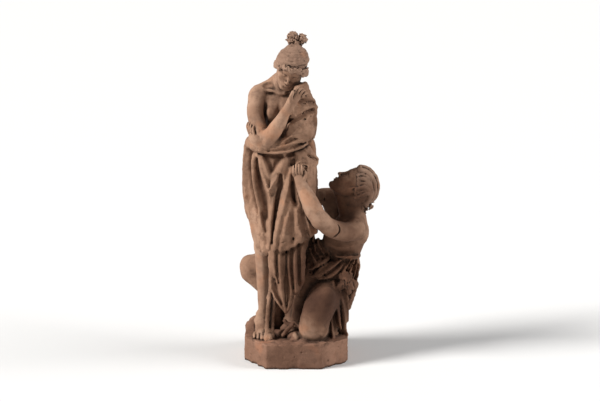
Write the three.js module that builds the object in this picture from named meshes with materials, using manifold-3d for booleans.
// A fired-clay group of two draped figures on an eight-sided plinth, in millimetres, +Z up.
//
// The origin is the centre of the plinth's underside, X runs to the figures' left-hand side as they
// are seen from the front, and the front is towards -Y.
//
// The group is built the way a modeller builds it: the plinth is a hollow box of slabs, and each
// figure is a set of lumps of clay, luted to each other with slip. Every lump is its own solid. Two
// lumps that meet keep a luting gap between them, and the one that was laid on later is hollowed to
// fit the one under it.
import * as THREE from "three";
import { ConvexGeometry } from "three/addons/geometries/ConvexGeometry.js";
import { mergeVertices } from "three/addons/utils/BufferGeometryUtils.js";
import Module from "manifold-3d";

const wasm = await Module();
wasm.setup();

// ---- Driving dimensions ----
const PLINTH_WIDTH = 182; // across the flats, side to side
const PLINTH_DEPTH = 182; // across the flats, front to back
const PLINTH_HEIGHT = 44;
const SLAB = 14; // thickness of the plinth's top slab
const WALL = 15; // thickness of the plinth's side walls
const RIB = 18; // thickness of the wall inside the plinth that carries the top slab
const FIGURE_HEIGHT = 535.5; // from the plinth's top to the top of the standing figure's hair
const LUTE = 0.3; // the gap that slip fills between two lumps
const CLOTH = 0; // how much thicker than drawn every lump of cloth is

// The corners of the plinth are cut off by hand, so no two are alike: each cut is a share of the
// plinth's width and a share of its depth.
const CORNER_CUTS = {
  front_left: [0.22, 0.3],
  front_right: [0.26, 0.23],
  back_right: [0.23, 0.23],
  back_left: [0.23, 0.25],
};

const FLESH = 0xa07a64;
const DRAPERY = 0x96705b;
const HAIR = 0x8c6854;
const BASE = 0x9a7460;

// The figures were laid out for this height, and every ball below is scaled from it.
const DRAWN_HEIGHT = 535.5;
const SCALE = FIGURE_HEIGHT / DRAWN_HEIGHT;

// ---- Solids ----

// A closed three.js geometry as a solid that can be joined and cut.
function solidOf(geometry) {
  const bare = geometry.index ? geometry.toNonIndexed() : geometry.clone();
  bare.deleteAttribute("normal");
  bare.deleteAttribute("uv");
  const merged = mergeVertices(bare, 1e-4);
  return new wasm.Manifold(
    new wasm.Mesh({
      numProp: 3,
      vertProperties: merged.attributes.position.array,
      triVerts: new Uint32Array(merged.index.array),
    }),
  );
}

function geometryOf(solid) {
  const mesh = solid.getMesh();
  const geometry = new THREE.BufferGeometry();
  geometry.setAttribute("position", new THREE.BufferAttribute(new Float32Array(mesh.vertProperties), 3));
  geometry.setIndex(new THREE.BufferAttribute(new Uint32Array(mesh.triVerts), 1));
  return geometry;
}

// The points of a ball that a skin is stretched over.
const BALL = (() => {
  const ball = mergeVertices(bareSphere(), 1e-4).attributes.position;
  return Array.from({ length: ball.count }, (_, i) => new THREE.Vector3().fromBufferAttribute(ball, i));
})();

function bareSphere() {
  const sphere = new THREE.IcosahedronGeometry(1, 1);
  sphere.deleteAttribute("normal");
  sphere.deleteAttribute("uv");
  return sphere;
}

// One lump: a skin stretched over balls, each [x, y, z, radius] with z above the plinth's top.
function lump(balls, extra) {
  const points = balls.flatMap(([x, y, z, r]) => {
    const centre = new THREE.Vector3(x, y, z).multiplyScalar(SCALE);
    centre.z += PLINTH_HEIGHT;
    return BALL.map((p) => centre.clone().addScaledVector(p, r * SCALE + extra));
  });
  return solidOf(new ConvexGeometry(points));
}

// ---- The plinth ----

// The plinth's outline, walked anticlockwise from the front left corner, taken in by `inset`.
function plinthOutline(inset) {
  const x = PLINTH_WIDTH / 2;
  const y = PLINTH_DEPTH / 2;
  const cut = (name) => [CORNER_CUTS[name][0] * PLINTH_WIDTH, CORNER_CUTS[name][1] * PLINTH_DEPTH];
  const corners = [
    [-x + cut("front_left")[0], -y],
    [x - cut("front_right")[0], -y],
    [x, -y + cut("front_right")[1]],
    [x, y - cut("back_right")[1]],
    [x - cut("back_right")[0], y],
    [-x + cut("back_left")[0], y],
    [-x, y - cut("back_left")[1]],
    [-x, -y + cut("front_left")[1]],
  ].map(([px, py]) => new THREE.Vector2(px, py));
  return corners.map((corner, i) => {
    const before = corners[(i + 7) % 8];
    const after = corners[(i + 1) % 8];
    const a = corner.clone().sub(before).normalize();
    const b = after.clone().sub(corner).normalize();
    const inward = b.clone().sub(a).normalize();
    const half = Math.sqrt((1 + a.dot(b)) / 2);
    return corner.clone().addScaledVector(inward, inset / half);
  });
}

function prism(outline, bottom, top) {
  const made = new THREE.ExtrudeGeometry(new THREE.Shape(outline), {
    depth: top - bottom,
    bevelEnabled: false,
  });
  return solidOf(made.translate(0, 0, bottom));
}

const WALL_NAMES = ["front", "front_right", "right", "back_right", "back", "back_left", "left", "front_left"];

// The side walls meet at mitred corners, and each mitre holds a lute's thickness of slip.
function plinthWalls() {
  const outer = plinthOutline(0);
  const inner = plinthOutline(WALL);
  const top = PLINTH_HEIGHT - SLAB - LUTE;
  return WALL_NAMES.map((name, i) => {
    const next = (i + 1) % 8;
    const along = outer[next].clone().sub(outer[i]).normalize();
    const start = along.clone().multiplyScalar(LUTE);
    const end = start.clone().negate();
    const outline = [
      outer[i].clone().add(start),
      outer[next].clone().add(end),
      inner[next].clone().add(end),
      inner[i].clone().add(start),
    ];
    return { name: `plinth_wall_${name}`, solid: prism(outline, 0, top), colour: BASE };
  });
}

function plinthRib() {
  const x = PLINTH_WIDTH / 2 - WALL - LUTE;
  const y = RIB / 2;
  const outline = [[-x, -y], [x, -y], [x, y], [-x, y]].map((p) => new THREE.Vector2(...p));
  return { name: "plinth_inner_rib", solid: prism(outline, 0, PLINTH_HEIGHT - SLAB - LUTE), colour: BASE };
}

function plinthTop() {
  const solid = prism(plinthOutline(0), PLINTH_HEIGHT - SLAB, PLINTH_HEIGHT);
  return { name: "plinth_top_slab", solid, colour: BASE };
}

// ---- The figures: each lump is a list of skins, and each skin is a list of balls ----
// A later lump gives way to an earlier one wherever they meet.

const STANDING_BODY = {
  standing_torso: [
    [
      [-28, 5, 326, 27], [-27, 8, 378, 29], [-56, 6, 412, 15],
      [8, 10, 412, 15], [-44, -8, 386, 15], [-10, -8, 386, 15],
    ],
    [[-27, 6, 428, 16], [-47, 6, 432, 14], [0, 8, 430, 14]],
    [[-27, 6, 432, 14], [-18, -6, 454, 13]],
  ],
  standing_head: [[[-9, -18, 478, 25], [-12, -30, 472, 18], [-19, -34, 443, 10]]],
  standing_hair_cap: [[[-3, -14, 484, 28], [1, 0, 476, 26], [-4, -18, 490, 20]]],
  standing_topknot: [
    [[-2, -17, 504, 9], [-4, -18, 524, 11.5]],
    [[1, -17, 512, 8], [12, -15, 522, 9.5]],
  ],
  standing_right_upper_arm: [[[-66, 2, 421, 16.5], [-68, -18, 390, 14.5], [-54, -39, 348, 12]]],
  standing_right_forearm: [[[-51, -44, 346, 12], [-40, -50, 364, 12], [-12, -58, 410, 8]]],
  standing_right_hand: [[[-10, -58, 414, 7.5], [2, -58, 428, 9], [12, -50, 440, 6]]],
  standing_left_hand: [[[-70, -42, 354, 9], [-84, -34, 372, 8]]],
  standing_right_thigh: [[[-52, 0, 262, 27], [-57, -8, 206, 19], [-60, -14, 164, 15]]],
  standing_right_shin: [[
    [-60, -13, 150, 13.5], [-59, -3, 112, 14],
    [-58, -1, 40, 8.5], [-58, 0, 26, 8.5],
  ]],
  standing_right_foot: [[[-57, 8, 8, 9.5], [-58, -4, 18, 9], [-68, -54, 4, 6], [-57, -58, 4, 6]]],
  standing_left_thigh: [[[-10, 0, 262, 24], [-10, -8, 206, 18], [-10, -14, 166, 15]]],
  standing_left_shin: [[[-10, -14, 152, 13.5], [-9, -2, 112, 14], [-8, 3, 40, 8.5], [-8, 4, 26, 8.5]]],
  standing_left_foot: [[[-6, 10, 8, 9.5], [-8, -2, 18, 9], [-36, -52, 4, 6], [-24, -60, 4, 6]]],
};

const STANDING_CLOTH = {
  skirt: [
    [
      [-73, 0, 318, 19], [-73, 6, 262, 22], [12, 4, 318, 20],
      [16, 6, 250, 20], [-30, -24, 316, 16], [-30, 24, 310, 18],
    ],
    [
      [-64, 8, 262, 22], [14, 4, 250, 20], [-22, -24, 250, 18],
      [-54, 12, 158, 12], [-4, -2, 150, 18], [-22, -26, 158, 13],
    ],
  ],
  left_arm_wrap: [[[18, 8, 414, 17], [26, -4, 378, 18], [25, -14, 352, 17]]],
  forearm_wrap: [[[22, -22, 344, 17], [-20, -40, 340, 17], [-62, -44, 346, 14], [-68, -16, 334, 16]]],
  shoulder_mantle: [
    [[12, 2, 430, 15], [26, 6, 404, 16], [28, -6, 370, 15], [20, 26, 400, 14]],
    [[18, -12, 424, 13], [26, -14, 388, 12], [-2, -44, 382, 9], [-8, -48, 366, 9]],
  ],
  back_mantle: [
    [
      [-78, 20, 320, 12], [12, 26, 390, 16], [14, 26, 320, 14],
      [-30, 34, 340, 12], [-82, 20, 240, 10], [12, 30, 240, 12],
    ],
    [
      [-82, 20, 250, 10], [12, 30, 250, 12], [-30, 38, 250, 10],
      [-70, 22, 160, 8], [6, 26, 150, 10], [-30, 34, 148, 8],
    ],
  ],
  hip_flare: [[[20, -18, 322, 12], [36, -18, 309, 4], [28, -24, 290, 9], [12, -34, 300, 10]]],
  front_flap: [[
    [6, -46, 296, 8], [28, -44, 230, 8], [34, -52, 195, 5],
    [-34, -50, 160, 6], [-24, -42, 252, 8],
  ]],
  front_left_fall: [[[-28, -46, 166, 7], [-18, -44, 160, 8], [-22, -46, 92, 5], [-34, -44, 112, 5]]],
  front_right_fall: [[[-6, -42, 164, 10], [8, -40, 170, 9], [13, -40, 116, 7], [0, -42, 84, 5]]],
  front_tail: [[
    [-30, -36, 134, 7], [-8, -36, 128, 8], [-44, -38, 96, 4],
    [-15, -46, 48, 4], [-6, -40, 80, 5],
  ]],
  trailing_fold: [[[-34, -38, 96, 4], [-48, -42, 62, 4], [-48, -54, 16, 4], [-48, -64, 2, 5]]],
};

const KNEELING_BODY = {
  kneeling_torso: [
    [[86, 12, 124, 22], [92, 8, 164, 30], [104, 4, 186, 28], [84, 6, 188, 22]],
    [[98, 4, 204, 16], [102, 2, 228, 15]],
  ],
  kneeling_head: [[[108, 0, 262, 29], [98, -2, 268, 24], [64, -1, 266, 8]]],
  kneeling_hair: [[[116, 1, 268, 29], [119, 2, 258, 28], [108, 1, 276, 24]]],
  nape_knot: [[[118, 3, 226, 8], [129, 3, 222, 7]]],
  kneeling_left_upper_arm: [[[104, -26, 188, 17], [76, -48, 198, 15], [46, -64, 216, 14]]],
  kneeling_left_forearm: [[[42, -66, 220, 14], [32, -66, 236, 13], [10, -60, 272, 9]]],
  kneeling_left_hand: [[[8, -60, 276, 8.5], [0, -58, 296, 7]]],
  kneeling_right_upper_arm: [[[78, 32, 196, 14], [66, 42, 232, 12]]],
  kneeling_right_forearm: [[[62, 42, 236, 12.5], [34, 36, 236, 11]]],
  kneeling_right_hand: [[[30, 34, 236, 9], [18, 24, 236, 9]]],
  kneeling_right_thigh: [[[54, 36, 82, 26], [-30, 44, 102, 23], [-84, 45, 108, 19]]],
  kneeling_right_shin: [[[-86, 43, 98, 17], [-50, 46, 70, 15], [2, 46, 24, 9]]],
  kneeling_right_foot: [[[8, 48, 10, 10], [0, 44, 22, 8], [-34, 40, 4, 6], [-34, 54, 4, 6]]],
  kneeling_left_thigh: [[[30, -60, 22, 23], [34, -44, 44, 27], [70, 14, 76, 28]]],
  kneeling_left_shin: [[[44, -40, 12, 13], [72, 26, 12, 11]]],
  kneeling_left_foot: [[[74, 34, 10, 9], [78, 58, 6, 7], [80, 72, 14, 6]]],
};

const KNEELING_CLOTH = {
  hip_wrap: [[[88, 10, 124, 22], [90, 6, 92, 24], [60, -8, 104, 22], [66, 40, 100, 22]]],
  lap_cloth: [[[46, 4, 112, 20], [34, 8, 88, 18], [30, -12, 120, 12], [28, -8, 146, 6]]],
  cloth_knot: [[[86, -20, 98, 13], [80, -24, 84, 10]]],
  back_fold: [[[101, 8, 74, 12], [92, 12, 44, 10], [84, 10, 60, 12]]],
  side_fall: [[[76, -18, 72, 10], [78, -16, 12, 9], [84, 4, 14, 8], [84, 8, 60, 10]]],
  front_fall: [[[66, -22, 64, 8], [66, -26, 8, 7], [70, -20, 8, 7]]],
};

const GROUND = {
  back_mound: [[
    [-72, 32, -4, 10], [-58, 58, -6, 12], [-20, 72, -8, 12],
    [20, 70, -8, 12], [-50, 40, -4, 11],
  ]],
  front_mound: [[[-4, -66, 1, 6], [8, -72, -1, 6], [2, -50, 4, 8], [4, -30, -2, 12]]],
};

// What each lump is made on: the lumps that it is hollowed to fit.
function layUp(groups, standing) {
  const laid = [...standing];
  for (const [lumps, colour, thicker] of groups) {
    for (const [name, skins] of Object.entries(lumps)) {
      const join = (extra) => skins.map((balls) => lump(balls, extra)).reduce((a, b) => a.add(b));
      const cut = laid.reduce((solid, under) => solid.subtract(under.grown), join(thicker));
      const pieces = cut.decompose().sort((a, b) => b.volume() - a.volume());
      laid.push({ name, solid: pieces[0], grown: join(thicker + LUTE), colour });
    }
  }
  return laid.slice(standing.length);
}

function build() {
  const top = plinthTop();
  const bed = {
    grown: prism(plinthOutline(-2 * WALL), 0, PLINTH_HEIGHT + LUTE),
  };
  const figures = layUp(
    [
      [STANDING_BODY, FLESH, 0],
      [KNEELING_BODY, FLESH, 0],
      [STANDING_CLOTH, DRAPERY, CLOTH],
      [KNEELING_CLOTH, DRAPERY, CLOTH],
      [GROUND, BASE, 0],
    ],
    [bed],
  );
  const group = new THREE.Group();
  for (const { name, solid, colour } of [top, ...plinthWalls(), plinthRib(), ...figures]) {
    const tone = /hair|topknot|nape/.test(name) ? HAIR : colour;
    const material = new THREE.MeshStandardMaterial({ color: tone, roughness: 0.85, metalness: 0 });
    const mesh = new THREE.Mesh(geometryOf(solid), material);
    mesh.name = name;
    group.add(mesh);
  }
  return group;
}

export default build();
